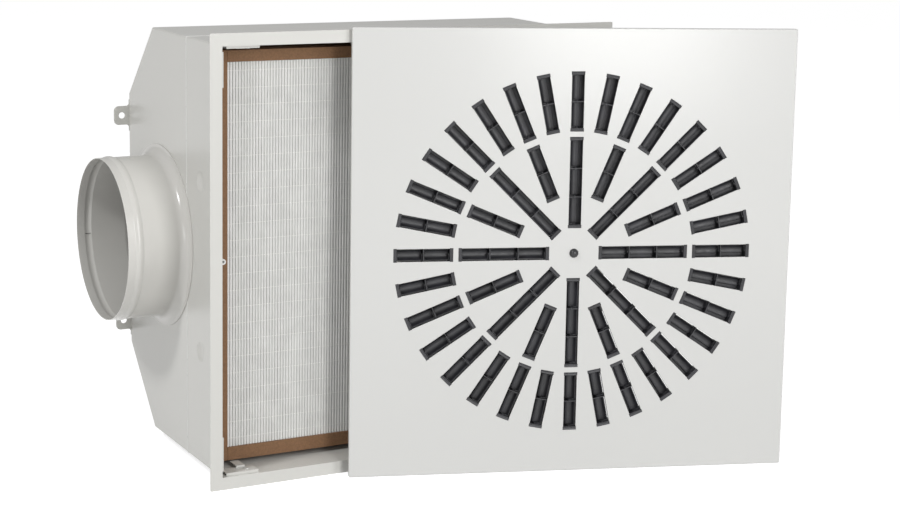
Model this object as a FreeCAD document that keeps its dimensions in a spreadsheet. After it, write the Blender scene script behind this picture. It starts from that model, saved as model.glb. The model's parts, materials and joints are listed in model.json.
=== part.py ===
"""Filter housing with a side duct collar, its filter cell, and its slotted face plate taken off.

The housing stands on the lower edge of its front flange. X runs to the right along the flange,
Y runs back into the housing and Z is up. The origin is the middle of the front opening, in the
flange's front face. All sizes are in millimetres.
"""
import FreeCAD, Part

import math
import os
import re
from types import SimpleNamespace

import Sketcher
from FreeCAD import Placement, Rotation, Vector

SIZES = {
    # Folded sheet of the housing
    "wall_sheet": 1.25,
    "flange_border": 15.5,
    "flange_corner": 2.0,
    "bend_radius": 2.5,
    "lap_length": 15.0,
    "lap_gap": 0.1,
    "seam_chamfer": 0.8,
    "roof_depth": 98.5,
    "roof_drop": 102.5,
    # Pressed dimples that centre the filter cell
    "dimple_diameter": 30.0,
    "dimple_depth": 3.5,
    "dimple_set_back": 74.0,
    "dimple_above": 99.0,
    "dimple_below": 131.0,
    # Duct collar
    "collar_diameter": 222.0,
    "collar_sheet": 1.25,
    "collar_reach": 84.0,
    "collar_overlap": 23.25,
    "collar_margin": 0.25,
    "flare_radius": 13.75,
    "flare_foot": 1.5,
    "bead_start": 10.0,
    "bead_width": 12.0,
    "bead_ramp": 3.0,
    "bead_height": 1.6,
    # Suspension lugs
    "lug_sheet": 2.0,
    "lug_height": 27.0,
    "lug_reach": 22.0,
    "lug_corner": 7.0,
    "lug_root": 4.0,
    "lug_hole": 9.0,
    "lug_hole_out": 10.5,
    "lug_inset": 32.0,
    "lug_foot_width": 20.0,
    "lug_foot_height": 45.0,
    # Filter cell
    "filter_size": 557.0,
    "filter_depth": 66.0,
    "filter_set_back": 45.0,
    "filter_clearance": 4.75,
    "board_width": 20.5,
    "media_recess": 3.0,
    "media_sheet": 0.5,
    "pleat_pitch": 4.05,
    "pleat_tip": 0.9,
    "thread_size": 0.8,
    "thread_pitch": 22.4,
    "gasket_sheet": 4.0,
    "gasket_width": 16.0,
    "gasket_edge": 1.0,
    "seat_sheet": 2.0,
    "seat_width": 26.0,
    "seat_margin": 7.0,
    # Corner clamps of the filter cell
    "clamp_sheet": 1.2,
    "clamp_lift": 3.6,
    "clamp_set_back": 5.0,
    "clamp_depth": 19.0,
    "clamp_start": 7.5,
    "clamp_leg": 45.5,
    "clamp_bridge": 9.0,
    "tongue_start": 21.0,
    "tongue_width": 12.0,
    "tongue_hold": 1.25,
    "fixing_place": 40.0,
    "fixing_diameter": 4.0,
    "fixing_head": 7.0,
    "fixing_head_height": 1.2,
    # Crossbar that takes the screw of the face plate
    "bar_width": 30.0,
    "bar_depth": 18.0,
    "bar_sheet": 1.5,
    "bar_set_back": 22.0,
    "nut_width": 10.0,
    "nut_height": 5.0,
    # Pressure test port
    "port_diameter": 7.5,
    "port_bore": 3.6,
    "port_bore_depth": 6.0,
    "port_length": 11.0,
    "port_foot": 4.0,
    "port_set_back": 6.5,
    "port_level": 4.5,
    "tube_diameter": 3.0,
    "tube_bore": 1.8,
    "tube_lift": 0.2,
    "tube_end": 5.0,
    # Face plate, standing in front of the opening and leaning on the flange
    "plate_overhang": 2.0,
    "plate_sheet": 1.5,
    "plate_rim": 10.0,
    "plate_shift": 176.5,
    "plate_turn": 18.75,
    "plate_lean": 1.4,
    "plate_gap": 0.4,
    # Slots of the face plate
    "slot_width": 17.4,
    "slot_end_width": 18.6,
    "slot_end": 4.6,
    "outer_slot_length": 80.5,
    "long_slot_start": 34.0,
    "long_slot_length": 123.5,
    "long_slot_bridge": 7.0,
    "short_slot_length": 78.5,
    "short_slot_bridge": 8.5,
    # Slot inserts
    "insert_gap": 0.15,
    "insert_recess": 0.2,
    "insert_rail": 1.2,
    "insert_rail_depth": 4.0,
    "insert_web": 1.2,
    "insert_back_gap": 1.1,
    "insert_back_start": 3.2,
    "insert_back_sheet": 1.2,
    # Blades
    "blade_axis": 4.6,
    "blade_clearance": 0.6,
    "blade_sheet": 1.2,
    "blade_start": 53.0,
    "blade_wall": 1.0,
    "blade_gap": 0.35,
    "hub_diameter": 4.6,
    "pin_diameter": 2.6,
    "pin_clearance": 0.1,
    "pin_end_gap": 0.2,
    # Screw of the face plate
    "screw_diameter": 6.0,
    "screw_clearance": 0.3,
    "screw_length": 42.0,
    "screw_head": 7.8,
    "screw_head_height": 2.6,
    "cap_diameter": 12.5,
    "cap_height": 5.5,
}

FOLLOWING = {
    # The housing fits round the cell and reaches past its seat, and the plate covers the flange
    "body_size": "=filter_size + 2 * (filter_clearance + wall_sheet)",
    "chamber_depth": "=filter_set_back + filter_depth + gasket_sheet + seat_sheet + seat_margin",
    "plate_size": "=body_size + 2 * (flange_border + plate_overhang)",
    # The hood is as deep as the foot of the collar needs
    "collar_foot": "=collar_diameter / 2 + flare_radius + flare_foot",
    "collar_set_back": "=collar_foot - collar_overlap",
    "shoulder_depth": "=collar_set_back + collar_foot + collar_margin - roof_depth",
    "lug_level": "=body_size / 2 - roof_drop - lug_inset",
    # The tongues reach over the edge of the cell
    "tongue_rise": "=filter_clearance + tongue_hold - clamp_lift",
    # The rings of slots keep a bridge of sheet between them, and the blades turn inside the slots
    "outer_slot_start": "=long_slot_start + long_slot_length + long_slot_bridge",
    "short_slot_start": "=outer_slot_start - short_slot_bridge - short_slot_length",
    "blade_radius": "=slot_width / 2 - blade_clearance",
    "insert_depth": "=blade_axis + blade_radius + insert_back_gap",
}

OUTER_SLOTS = 32
INNER_SLOTS = 8
SLOT_ROWS = {
    "outer": {"blades": 2, "copies": OUTER_SLOTS, "turn": 0.0},
    "long": {"blades": 3, "copies": INNER_SLOTS, "turn": 0.0},
    "short": {"blades": 2, "copies": INNER_SLOTS, "turn": 180.0 / INNER_SLOTS},
}

ACROSS = Vector(1, 0, 0)
BACK = Vector(0, 1, 0)
FORWARD = Vector(0, -1, 0)
UP = Vector(0, 0, 1)
TOUCH = 0.01

INNER_HALF = "(body_size / 2 - wall_sheet)"
HOOD_END = "(chamber_depth + shoulder_depth + roof_depth)"
COLLAR_AXIS = "(chamber_depth + collar_set_back)"
CELL_HALF = "(filter_size / 2)"
MEDIA_HALF = "(filter_size / 2 - board_width)"
CELL_END = "(filter_set_back + filter_depth)"
SEAT_FRONT = "(filter_set_back + filter_depth + gasket_sheet)"

document = FreeCAD.newDocument("filter_housing")
sheet = document.addObject("Spreadsheet::Sheet", "sizes")
for line, (alias, value) in enumerate({**SIZES, **FOLLOWING}.items(), start=1):
    sheet.set(f"A{line}", alias.replace("_", " "))
    sheet.set(f"B{line}", str(value))
    sheet.setAlias(f"B{line}", alias)
working = document.addObject("Spreadsheet::Sheet", "working")
document.recompute()
real = SimpleNamespace(**{alias: float(sheet.get(alias)) for alias in (*SIZES, *FOLLOWING)})

ALIAS = re.compile(r"\b(" + "|".join(vars(real)) + r")\b")
nodes = []


def tie(thing, place, formula):
    """Tie a property of a document object to a formula in the sheet's aliases."""
    thing.setExpression(place, ALIAS.sub(r"sizes.\1", str(formula)))


def worth(formula):
    """Value of a formula in the sheet's aliases, worked out in a cell of its own."""
    working.set("A1", "=" + ALIAS.sub(r"sizes.\1", str(formula)))
    working.recompute()
    found = working.get("A1")
    return float(getattr(found, "Value", found))


def keep(thing, label):
    """Make a document object one of the kept pieces, under its own name."""
    thing.Label = label
    nodes.append(thing)
    return thing


def move(thing, x="0", y="0", z="0"):
    """Tie an object's place to three formulas."""
    for axis, formula in zip("xyz", (x, y, z)):
        if formula != "0":
            tie(thing, f"Placement.Base.{axis}", formula)
    return thing


def box(name, lengths, corner):
    """Block with its lowest corner at a place, all given as formulas."""
    block = document.addObject("Part::Box", name)
    for side, formula in zip(("Length", "Width", "Height"), lengths):
        tie(block, side, formula)
    return move(block, *corner)


def rod(name, radius, length, start, axis):
    """Cylinder along an axis from a starting place, given as formulas."""
    cylinder = document.addObject("Part::Cylinder", name)
    cylinder.Placement = Placement(Vector(), Rotation(UP, axis))
    tie(cylinder, "Radius", radius)
    tie(cylinder, "Height", length)
    return move(cylinder, *start)


def join(name, things):
    """One piece made of several that meet."""
    fused = document.addObject("Part::MultiFuse", name)
    fused.Shapes = things
    fused.Refine = True
    return fused


def cut(name, whole, tool):
    """A piece with another's shape taken out of it."""
    result = document.addObject("Part::Cut", name)
    result.Base = whole
    result.Tool = tool
    return result


def group(name, things, placement=None):
    """Several separate solids kept as one."""
    compound = document.addObject("Part::Compound", name)
    compound.Links = things
    if placement is not None:
        compound.Placement = placement
    return compound


def sketch_on(body, plane, name, offset="0", turn=0.0):
    """Sketch on one of a body's own planes, moved along that plane's normal."""
    sketch = body.newObject("Sketcher::SketchObject", name)
    base = next(item for item in body.Origin.OriginFeatures if item.Role == plane)
    sketch.AttachmentSupport = [(base, "")]
    sketch.MapMode = "FlatFace"
    sketch.AttachmentOffset = Placement(Vector(), Rotation(UP, turn))
    if offset != "0":
        tie(sketch, "AttachmentOffset.Base.z", offset)
    return sketch


def hold(sketch, kind, geometry, formula):
    """Constraint of a sketch that follows a formula."""
    index = sketch.addConstraint(Sketcher.Constraint(kind, *geometry, worth(formula)))
    sketch.renameConstraint(index, f"{kind.lower()}_{index}")
    tie(sketch, f"Constraints.{kind.lower()}_{index}", formula)


def outline(sketch, corners):
    """Closed outline of straight lines, each corner given as two formulas."""
    points = [Vector(worth(x), worth(y), 0) for x, y in corners]
    first = sketch.GeometryCount
    count = len(points)
    for start, end in zip(points, points[1:] + points[:1]):
        sketch.addGeometry(Part.LineSegment(start, end))
    for index in range(count):
        after = first + (index + 1) % count
        sketch.addConstraint(Sketcher.Constraint("Coincident", first + index, 2, after, 1))
    for index, (x, y) in enumerate(corners):
        hold(sketch, "DistanceX", (-1, 1, first + index, 1), x)
        hold(sketch, "DistanceY", (-1, 1, first + index, 1), y)


def rectangle(sketch, half_width, half_height):
    """Rectangle about the sketch's origin."""
    signs = ((-1, -1), (1, -1), (1, 1), (-1, 1))
    outline(sketch, [(f"{x} * {half_width}", f"{y} * {half_height}") for x, y in signs])


def circle(sketch, x, y, radius):
    """Circle about a place in a sketch."""
    centre = Vector(worth(x), worth(y), 0)
    index = sketch.addGeometry(Part.Circle(centre, Vector(0, 0, 1), worth(radius)))
    hold(sketch, "DistanceX", (-1, 1, index, 3), x)
    hold(sketch, "DistanceY", (-1, 1, index, 3), y)
    hold(sketch, "Radius", (index,), radius)


def feature(body, kind, name, sketch, length, back=False):
    """Pad or pocket of a sketch by a length."""
    made = body.newObject(f"PartDesign::{kind}", name)
    made.Profile = sketch
    made.Reversed = back
    tie(made, "Length", length)
    return made


def trim(body, kind, base, size, formula, chosen):
    """Fillet or chamfer on the edges of a body that a test picks."""
    document.recompute()
    edges = [f"Edge{i}" for i, edge in enumerate(base.Shape.Edges, 1) if chosen(edge)]
    made = body.newObject(f"PartDesign::{kind}", kind.lower())
    made.Base = (base, edges)
    tie(made, size, formula)
    return made


def ends(edge):
    """Points where an edge starts and ends."""
    return [vertex.Point for vertex in edge.Vertexes]


def lies_at(edge, axis, place):
    """Whether every end of an edge has the same coordinate."""
    return all(abs(getattr(point, axis) - place) < TOUCH for point in ends(edge))


def upright(edge, axis):
    """Whether an edge runs straight along an axis."""
    points = ends(edge)
    return len(points) == 2 and (points[1] - points[0]).cross(axis).Length < TOUCH


def square_block(name, half, front, depth, radius=None, chamfer=None):
    """Square block with rounded long edges, and a chamfer round its rear or front end."""
    body = document.addObject("PartDesign::Body", name)
    sketch = sketch_on(body, "XZ_Plane", "square", f"-{front}")
    rectangle(sketch, half, half)
    last = feature(body, "Pad", "depth", sketch, depth, back=True)
    if radius is not None:
        last = trim(body, "Fillet", last, "Radius", radius, lambda edge: upright(edge, BACK))
    if chamfer is not None:
        end = worth(chamfer)
        trim(body, "Chamfer", last, "Size", "seam_chamfer", lambda edge: lies_at(edge, "y", end))
    return body


def hipped_block(name, half, front, shoulder, end, end_half, radius, chamfer=False):
    """Block whose top and bottom slope in behind a shoulder."""
    body = document.addObject("PartDesign::Body", name)
    sketch = sketch_on(body, "YZ_Plane", "side_view", f"-{half}")
    upper = [(front, half), (shoulder, half), (end, end_half)]
    lower = [(depth, f"-{height}") for depth, height in reversed(upper)]
    outline(sketch, upper + lower)
    last = feature(body, "Pad", "width", sketch, f"2 * {half}")
    start = worth(front)
    last = trim(body, "Fillet", last, "Radius", radius, lambda edge: not lies_at(edge, "y", start))
    if chamfer:
        trim(body, "Chamfer", last, "Size", "seam_chamfer", lambda edge: lies_at(edge, "y", start))
    return body


def plate_pose():
    """Place of the taken-off plate: its lower edge on the floor, one corner by the flange."""
    turned = Rotation(UP, -real.plate_turn) * Rotation(ACROSS, -real.plate_lean)
    half = real.plate_size / 2
    foot = turned.multVec(Vector(0, real.plate_rim, -half))
    corner = turned.multVec(Vector(-half, real.plate_rim, half))
    floor = -(real.body_size / 2 + real.flange_border)
    return Placement(Vector(real.plate_shift, -real.plate_gap - corner.y, floor - foot.z), turned)


def row_turn(angle):
    """Turn of a slot's own frame: along the slot, across it clockwise, and into the plate."""
    radians = math.radians(angle)
    along = Vector(math.cos(radians), 0, math.sin(radians))
    aside = Vector(math.sin(radians), 0, -math.cos(radians))
    return Placement(Vector(), Rotation(along, aside, BACK, "ZXY"))


def on_leg(leg, level):
    """Place of a clamp's screw on one leg, at a level above the wall."""
    place = ("fixing_place", "clamp_set_back + clamp_depth / 2", level)
    return place if leg == "floor" else place[::-1]


# Fixing screws of the clamps, in the frame of one inside corner of the housing
clamp_shanks = []
clamp_fixings = []
for leg, axis in (("floor", UP), ("side", ACROSS)):
    clamp_shank = rod(f"clamp_shank_{leg}", "fixing_diameter / 2", "wall_sheet + clamp_lift",
                      on_leg(leg, "-wall_sheet"), axis)
    clamp_head = rod(f"clamp_head_{leg}", "fixing_head / 2", "fixing_head_height",
                     on_leg(leg, "clamp_lift"), axis)
    clamp_shanks.append(clamp_shank)
    clamp_fixings.append(join(f"clamp_fixing_{leg}", [clamp_shank, clamp_head]))
clamp_holes = group("clamp_holes", clamp_shanks)
clamp_pair = group("clamp_pair", clamp_fixings)

CORNERS = [("-", "-"), ("-", ""), ("", ""), ("", "-")]


def in_corner(thing, index):
    """Turn an object from the lower left inside corner of the housing to another corner."""
    side, level = CORNERS[index]
    thing.Placement = Placement(Vector(), Rotation(BACK, 90.0 * index))
    return move(thing, f"{side}{INNER_HALF}", "0", f"{level}{INNER_HALF}")


# Crossbar fixings, one through each end of the bar
bar_fixing_back = "bar_set_back + (bar_sheet + bar_depth) / 2"
bar_shanks = []
bar_screws = []
for end, axis, sign in (("lower", UP, "-"), ("upper", -UP, "")):
    bar_shank = rod(f"bar_shank_{end}", "fixing_diameter / 2", "wall_sheet + bar_sheet",
                    ("0", bar_fixing_back, f"{sign}(body_size / 2)"), axis)
    bar_head = rod(f"bar_head_{end}", "fixing_head / 2", "fixing_head_height",
                   ("0", bar_fixing_back, f"{sign}({INNER_HALF} - bar_sheet)"), axis)
    bar_shanks.append(bar_shank)
    bar_screws.append(join(f"bar_screw_{end}", [bar_shank, bar_head]))
bar_holes = group("bar_holes", bar_shanks)

# Front section: flange, chamber walls and the lap that enters the rear hood
collar_bore = "(collar_diameter / 2 - collar_sheet)"
bore_start = ("-(body_size / 2 + wall_sheet)", COLLAR_AXIS, "0")
lap_half = f"({INNER_HALF} - lap_gap)"
walls = square_block("chamber_walls", "(body_size / 2)", "0", "chamber_depth", "bend_radius",
                     "chamber_depth")
flange = square_block("flange_plate", "(body_size / 2 + flange_border)", "0", "wall_sheet",
                      "flange_corner")
lap = square_block("lap_walls", lap_half, "(chamber_depth - wall_sheet)", "lap_length + wall_sheet",
                   "bend_radius")
chamber = square_block("chamber_space", INNER_HALF, "0", "chamber_depth - wall_sheet",
                       "bend_radius - wall_sheet")
lap_space = square_block("lap_space", f"({lap_half} - wall_sheet)", "(chamber_depth - 2 * wall_sheet)",
                         "lap_length + 3 * wall_sheet", "bend_radius - wall_sheet")
wall_hole = rod("wall_hole", collar_bore, "4 * wall_sheet + lap_gap", bore_start, ACROSS)
corner_holes = [in_corner(group(f"corner_holes_{index}", [clamp_holes]), index) for index in range(4)]
folded = cut("folded_walls", join("solid_walls", [walls, flange, lap]),
             join("wall_openings", [chamber, lap_space, wall_hole, bar_holes] + corner_holes))

# Dimples pressed into the side walls, each a shallow dish
dish_radius = "(((dimple_diameter / 2) ^ 2 + dimple_depth ^ 2) / (2 * dimple_depth))"
dishes = []
hollows = []
for side in ("-", ""):
    for level in ("dimple_above", "-dimple_below"):
        place = (f"{side}(body_size / 2 + {dish_radius} - dimple_depth)", "dimple_set_back", level)
        hollow = document.addObject("Part::Sphere", "dimple_hollow")
        tie(hollow, "Radius", dish_radius)
        hollows.append(move(hollow, *place))
        bulge = document.addObject("Part::Sphere", "dimple_bulge")
        tie(bulge, "Radius", f"{dish_radius} + wall_sheet")
        move(bulge, *place)
        band_start = "-body_size / 2" if side else "body_size / 2 - 2 * dimple_depth - wall_sheet"
        band = box("dimple_band",
                   ("2 * dimple_depth + wall_sheet", "2 * dimple_diameter", "2 * dimple_diameter"),
                   (band_start, "dimple_set_back - dimple_diameter", f"{level} - dimple_diameter"))
        dish = document.addObject("Part::Common", "dimple_dish")
        dish.Base = bulge
        dish.Tool = band
        dishes.append(dish)
keep(cut("pressed_walls", join("domed_walls", [folded] + dishes), group("dimple_hollows", hollows)),
     "front_section")

# Rear hood: shoulder, sloping roofs and back panel, folded from one sheet
roof_turn = "atan(roof_drop / roof_depth)"
back_turn = "atan(roof_depth / roof_drop)"
shoulder = "(chamber_depth + shoulder_depth)"
hood_solid = hipped_block("hood_solid", "(body_size / 2)", "chamber_depth", shoulder, HOOD_END,
                          "(body_size / 2 - roof_drop)", "bend_radius", chamfer=True)
hood_space = hipped_block(
    "hood_space", INNER_HALF, "(chamber_depth - wall_sheet)",
    f"({shoulder} - wall_sheet * tan({roof_turn} / 2))", f"({HOOD_END} - wall_sheet)",
    f"(body_size / 2 - roof_drop - wall_sheet * tan({back_turn} / 2))", "bend_radius - wall_sheet")
hood_hole = rod("hood_hole", collar_bore, "3 * wall_sheet", bore_start, ACROSS)
keep(cut("hood", hood_solid, join("hood_openings", [hood_space, hood_hole])), "rear_hood")

# Duct collar, turned about its own axis, with a rolled bead and a flared foot on the side wall
collar = document.addObject("PartDesign::Body", "collar")
collar_section = sketch_on(collar, "XY_Plane", "section")
outside = "collar_diameter / 2"
bead_rear = "collar_reach - bead_start - bead_width"
bead_front = "collar_reach - bead_start"
bead_steps = [
    (bead_front, "0"), (f"{bead_front} - bead_ramp", "bead_height"),
    (f"{bead_rear} + bead_ramp", "bead_height"), (bead_rear, "0"),
]
outline(
    collar_section,
    [("0", "collar_diameter / 2 - collar_sheet")]
    + [(along, f"collar_diameter / 2 - collar_sheet + {rise}") for along, rise in reversed(bead_steps)]
    + [("collar_reach", "collar_diameter / 2 - collar_sheet"), ("collar_reach", outside)]
    + [(along, f"{outside} + {rise}") for along, rise in bead_steps]
    + [("collar_sheet", outside), ("collar_sheet", "collar_foot"), ("0", "collar_foot")],
)
spun = collar.newObject("PartDesign::Revolution", "spun_collar")
spun.Profile = collar_section
spun.ReferenceAxis = (collar_section, ["H_Axis"])
spun.Angle = 360


def ring_at(along, radius):
    """Test for the circular edge of the collar at a place and a radius."""
    def chosen(edge):
        found = getattr(edge.Curve, "Radius", None)
        if found is None:
            return False
        return abs(found - radius) < TOUCH and abs(edge.Curve.Center.x - along) < TOUCH
    return chosen


flared = trim(collar, "Fillet", spun, "Radius", "flare_radius",
              ring_at(real.collar_sheet, real.collar_diameter / 2))
trim(collar, "Fillet", flared, "Radius", "flare_radius + collar_sheet",
     ring_at(0.0, real.collar_diameter / 2 - real.collar_sheet))
collar.Placement = Placement(Vector(), Rotation(UP, 180))
keep(move(collar, "-body_size / 2", COLLAR_AXIS), "duct_spigot")


def at_lug_root(edge):
    """Whether an upright edge of a lug is a corner of its foot or where the ear leaves the foot."""
    if not upright(edge, BACK):
        return False
    beside_ear = abs(ends(edge)[0].z) < real.lug_height / 2 + TOUCH
    return lies_at(edge, "x", -real.lug_foot_width) or (lies_at(edge, "x", 0.0) and beside_ear)


# Suspension lugs on the back panel, each a foot with a rounded ear that reaches past the side wall
for index, (side, level) in enumerate(CORNERS, start=1):
    lug = document.addObject("PartDesign::Body", "lug")
    shape = sketch_on(lug, "XZ_Plane", "ear")
    half_ear = [("0", "lug_foot_height / 2"), ("0", "lug_height / 2"), ("lug_reach", "lug_height / 2")]
    outline(
        shape,
        [("-lug_foot_width", "-lug_foot_height / 2"), ("-lug_foot_width", "lug_foot_height / 2")]
        + half_ear + [(across, f"-{height}") for across, height in reversed(half_ear)],
    )
    circle(shape, "lug_hole_out", "0", "lug_hole / 2")
    ear = feature(lug, "Pad", "sheet", shape, "lug_sheet", back=True)
    rounded = trim(lug, "Fillet", ear, "Radius", "lug_corner",
                   lambda edge: upright(edge, BACK) and lies_at(edge, "x", real.lug_reach))
    trim(lug, "Fillet", rounded, "Radius", "lug_root", at_lug_root)
    lug.Placement = Placement(Vector(), Rotation(BACK, 180.0 if side else 0.0))
    keep(move(lug, f"{side}(body_size / 2)", HOOD_END, f"{level}lug_level"), f"suspension_lug_{index}")

# Seat for the filter cell's gasket: a flat frame on the chamber walls, holed for the test tube
tube_axis = f"(-{INNER_HALF} + tube_lift + tube_diameter / 2)"
seat = document.addObject("PartDesign::Body", "seat")
seat_sketch = sketch_on(seat, "XZ_Plane", "frame", f"-{SEAT_FRONT}")
rectangle(seat_sketch, INNER_HALF, INNER_HALF)
seat_blank = feature(seat, "Pad", "sheet", seat_sketch, "seat_sheet", back=True)
seat_round = trim(seat, "Fillet", seat_blank, "Radius", "bend_radius - wall_sheet",
                  lambda edge: upright(edge, BACK))
window = sketch_on(seat, "XZ_Plane", "window", f"-{SEAT_FRONT}")
rectangle(window, f"({INNER_HALF} - seat_width)", f"({INNER_HALF} - seat_width)")
feature(seat, "Pocket", "opening", window, "seat_sheet")
tube_window = sketch_on(seat, "XZ_Plane", "tube_hole", f"-{SEAT_FRONT}")
circle(tube_window, tube_axis, "port_level", "tube_diameter / 2")
feature(seat, "Pocket", "tube_opening", tube_window, "seat_sheet")
keep(seat, "filter_seat")


def four_strips(name, half, width, front, depth):
    """Square frame of four strips, the upright ones full height."""
    inner = f"({half} - {width})"
    return group(name, [
        box(f"{name}_left", (width, depth, f"2 * {half}"), (f"-{half}", front, f"-{half}")),
        box(f"{name}_right", (width, depth, f"2 * {half}"), (inner, front, f"-{half}")),
        box(f"{name}_lower", (f"2 * {inner}", depth, width), (f"-{inner}", front, f"-{half}")),
        box(f"{name}_upper", (f"2 * {inner}", depth, width), (f"-{inner}", front, inner)),
    ])


keep(four_strips("boards", CELL_HALF, "board_width", "filter_set_back", "filter_depth"), "filter_frame")
keep(four_strips("gasket", f"({CELL_HALF} - gasket_edge)", "gasket_width", CELL_END, "gasket_sheet"),
     "filter_gasket")


def beside(points, gap):
    """Polyline that runs beside another at a gap, with mitred corners."""
    moved = []
    for index, point in enumerate(points):
        before = points[max(index - 1, 0)]
        after = points[min(index + 1, len(points) - 1)]
        normals = [
            (end - start).cross(UP).normalize()
            for start, end in ((before, point), (point, after)) if start != end
        ]
        mitre = (normals[0] + normals[-1]).normalize()
        moved.append(point + mitre * (gap / mitre.dot(normals[0])))
    return moved


def pleated_sheet():
    """Media folded into close upright pleats with narrow flat tips."""
    half = real.filter_size / 2 - real.board_width
    count = int(2 * half / real.pleat_pitch)
    pitch = 2 * half / count
    front = real.filter_set_back + real.media_recess + real.media_sheet / 2
    rear = real.filter_set_back + real.filter_depth - real.media_recess - real.media_sheet / 2
    tip = real.pleat_tip / 2
    folds = [Vector(-half, rear, -half)]
    for index in range(count):
        start = -half + index * pitch
        middle = start + pitch / 2
        folds += [
            Vector(start + tip, rear, -half), Vector(middle - tip, front, -half),
            Vector(middle + tip, front, -half), Vector(start + pitch - tip, rear, -half),
        ]
    folds.append(Vector(half, rear, -half))
    edge = beside(folds, real.media_sheet / 2) + beside(folds, -real.media_sheet / 2)[::-1]
    return Part.Face(Part.makePolygon(edge + edge[:1])).extrude(UP * 2 * half)


media = document.addObject("Part::Feature", "media")
media.Shape = pleated_sheet()
keep(media, "filter_media")

# Threads of glue that hold the pleats apart, across the tips on both faces
thread_count = int((real.filter_size - 2 * real.board_width) / real.thread_pitch)
threads = []
for index in range(thread_count):
    level = f"{index - (thread_count - 1) / 2} * thread_pitch - thread_size / 2"
    for front in ("filter_set_back + media_recess - thread_size", f"{CELL_END} - media_recess"):
        threads.append(box("thread", (f"2 * {MEDIA_HALF}", "thread_size", "thread_size"),
                           (f"-{MEDIA_HALF}", front, level)))
keep(group("glue_threads", threads), "separator_threads")

# Corner clamps: two hollow legs along the walls, each with a tongue over the edge of the cell
clamp_rear = "(clamp_set_back + clamp_depth)"
plate_level = "clamp_lift - clamp_sheet"
tongue_level = "clamp_lift + tongue_rise"
clamp_parts = []


def clamp_block(name, along, back, rise):
    """Block of a clamp leg and its twin on the other leg, each given as start and length."""
    starts, lengths = zip(along, back, rise)
    clamp_parts.append(box(f"{name}_floor", lengths, starts))
    clamp_parts.append(box(f"{name}_side", lengths[::-1], starts[::-1]))


leg_run = ("clamp_start", "clamp_leg")
tongue_run = ("clamp_start + tongue_start", "tongue_width")
top = (plate_level, "clamp_sheet")
clamp_block("leg", leg_run, ("clamp_set_back", "clamp_depth"), top)
clamp_block("front_lip", leg_run, ("clamp_set_back", "clamp_sheet"), ("0", "clamp_lift"))
clamp_block("rear_lip", leg_run, (f"{clamp_rear} - clamp_sheet", "clamp_sheet"), ("0", "clamp_lift"))
clamp_block("bridge", (plate_level, "clamp_start - clamp_lift + clamp_sheet"),
            (f"{clamp_rear} - clamp_bridge", "clamp_bridge"), top)
clamp_block("riser", tongue_run, (f"{clamp_rear} - clamp_sheet", "clamp_sheet"),
            (plate_level, "clamp_sheet + tongue_rise"))
clamp_block("tongue", tongue_run, (clamp_rear, f"filter_set_back - {clamp_rear}"),
            (f"{tongue_level} - clamp_sheet", "clamp_sheet"))
clamp_form = join("clamp_form", clamp_parts)
for index in range(4):
    keep(in_corner(cut("clamp", clamp_form, clamp_holes), index), f"corner_clamp_{index + 1}")
keep(group("clamp_screws", [in_corner(group("pair", [clamp_pair]), index) for index in range(4)]),
     "clamp_screws")

# Crossbar behind the face plate: an upright channel with a bent foot on the upper and lower walls
bar_start = f"-{INNER_HALF}"
bar_height = f"2 * {INNER_HALF}"
bar_parts = [
    box("bar_web", ("bar_width", "bar_sheet", bar_height), ("-bar_width / 2", "bar_set_back", bar_start)),
]
for side_start in ("-bar_width / 2", "bar_width / 2 - bar_sheet"):
    bar_parts.append(box("bar_side", ("bar_sheet", "bar_depth", bar_height),
                         (side_start, "bar_set_back", bar_start)))
for foot_start in (bar_start, f"{INNER_HALF} - bar_sheet"):
    bar_parts.append(box("bar_foot", ("bar_width", "bar_depth", "bar_sheet"),
                         ("-bar_width / 2", "bar_set_back", foot_start)))
nut_hole = rod("bar_nut_hole", "screw_diameter / 2 + screw_clearance", "3 * bar_sheet",
               ("0", "bar_set_back - bar_sheet", "0"), BACK)
keep(cut("bar", join("bar_form", bar_parts), group("bar_openings", [bar_holes, nut_hole])), "traverse_bar")
keep(group("bar_screws", bar_screws), "traverse_screws")

nut_blank = document.addObject("Part::Prism", "nut_blank")
nut_blank.Polygon = 6
nut_blank.Placement = Placement(Vector(), Rotation(UP, BACK))
tie(nut_blank, "Circumradius", "nut_width / 2 / cos(30)")
tie(nut_blank, "Height", "nut_height")
move(nut_blank, "0", "bar_set_back + bar_sheet")
nut_thread = rod("nut_thread", "screw_diameter / 2", "3 * nut_height",
                 ("0", "bar_set_back - nut_height", "0"), BACK)
keep(cut("nut", nut_blank, nut_thread), "traverse_nut")

# Test port, a nipple along the left wall, and its tube past the filter cell into the space behind
port_start = (f"(-{INNER_HALF} + port_diameter / 2)", "port_set_back", "port_level")
port_body = rod("port_body", "port_diameter / 2", "port_length", port_start, BACK)
port_foot = box("port_foot", ("port_diameter / 2", "port_length", "port_foot"),
                (f"-{INNER_HALF}", "port_set_back", "port_level - port_foot / 2"))
port_bore = rod("port_bore", "port_bore / 2", "port_bore_depth", port_start, BACK)
tube_start = (tube_axis, "port_set_back + port_bore_depth", "port_level")
port_socket = rod("port_socket", "tube_diameter / 2", "port_length", tube_start, BACK)
port_form = join("port_form", [port_body, port_foot])
keep(cut("port", port_form, join("port_openings", [port_bore, port_socket])), "test_port")
tube_length = f"{SEAT_FRONT} + seat_sheet + tube_end - port_set_back - port_bore_depth"
tube_wall = rod("tube_wall", "tube_diameter / 2", tube_length, tube_start, BACK)
tube_space = rod("tube_space", "tube_bore / 2", tube_length, tube_start, BACK)
keep(cut("tube", tube_wall, tube_space), "test_tube")

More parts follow.
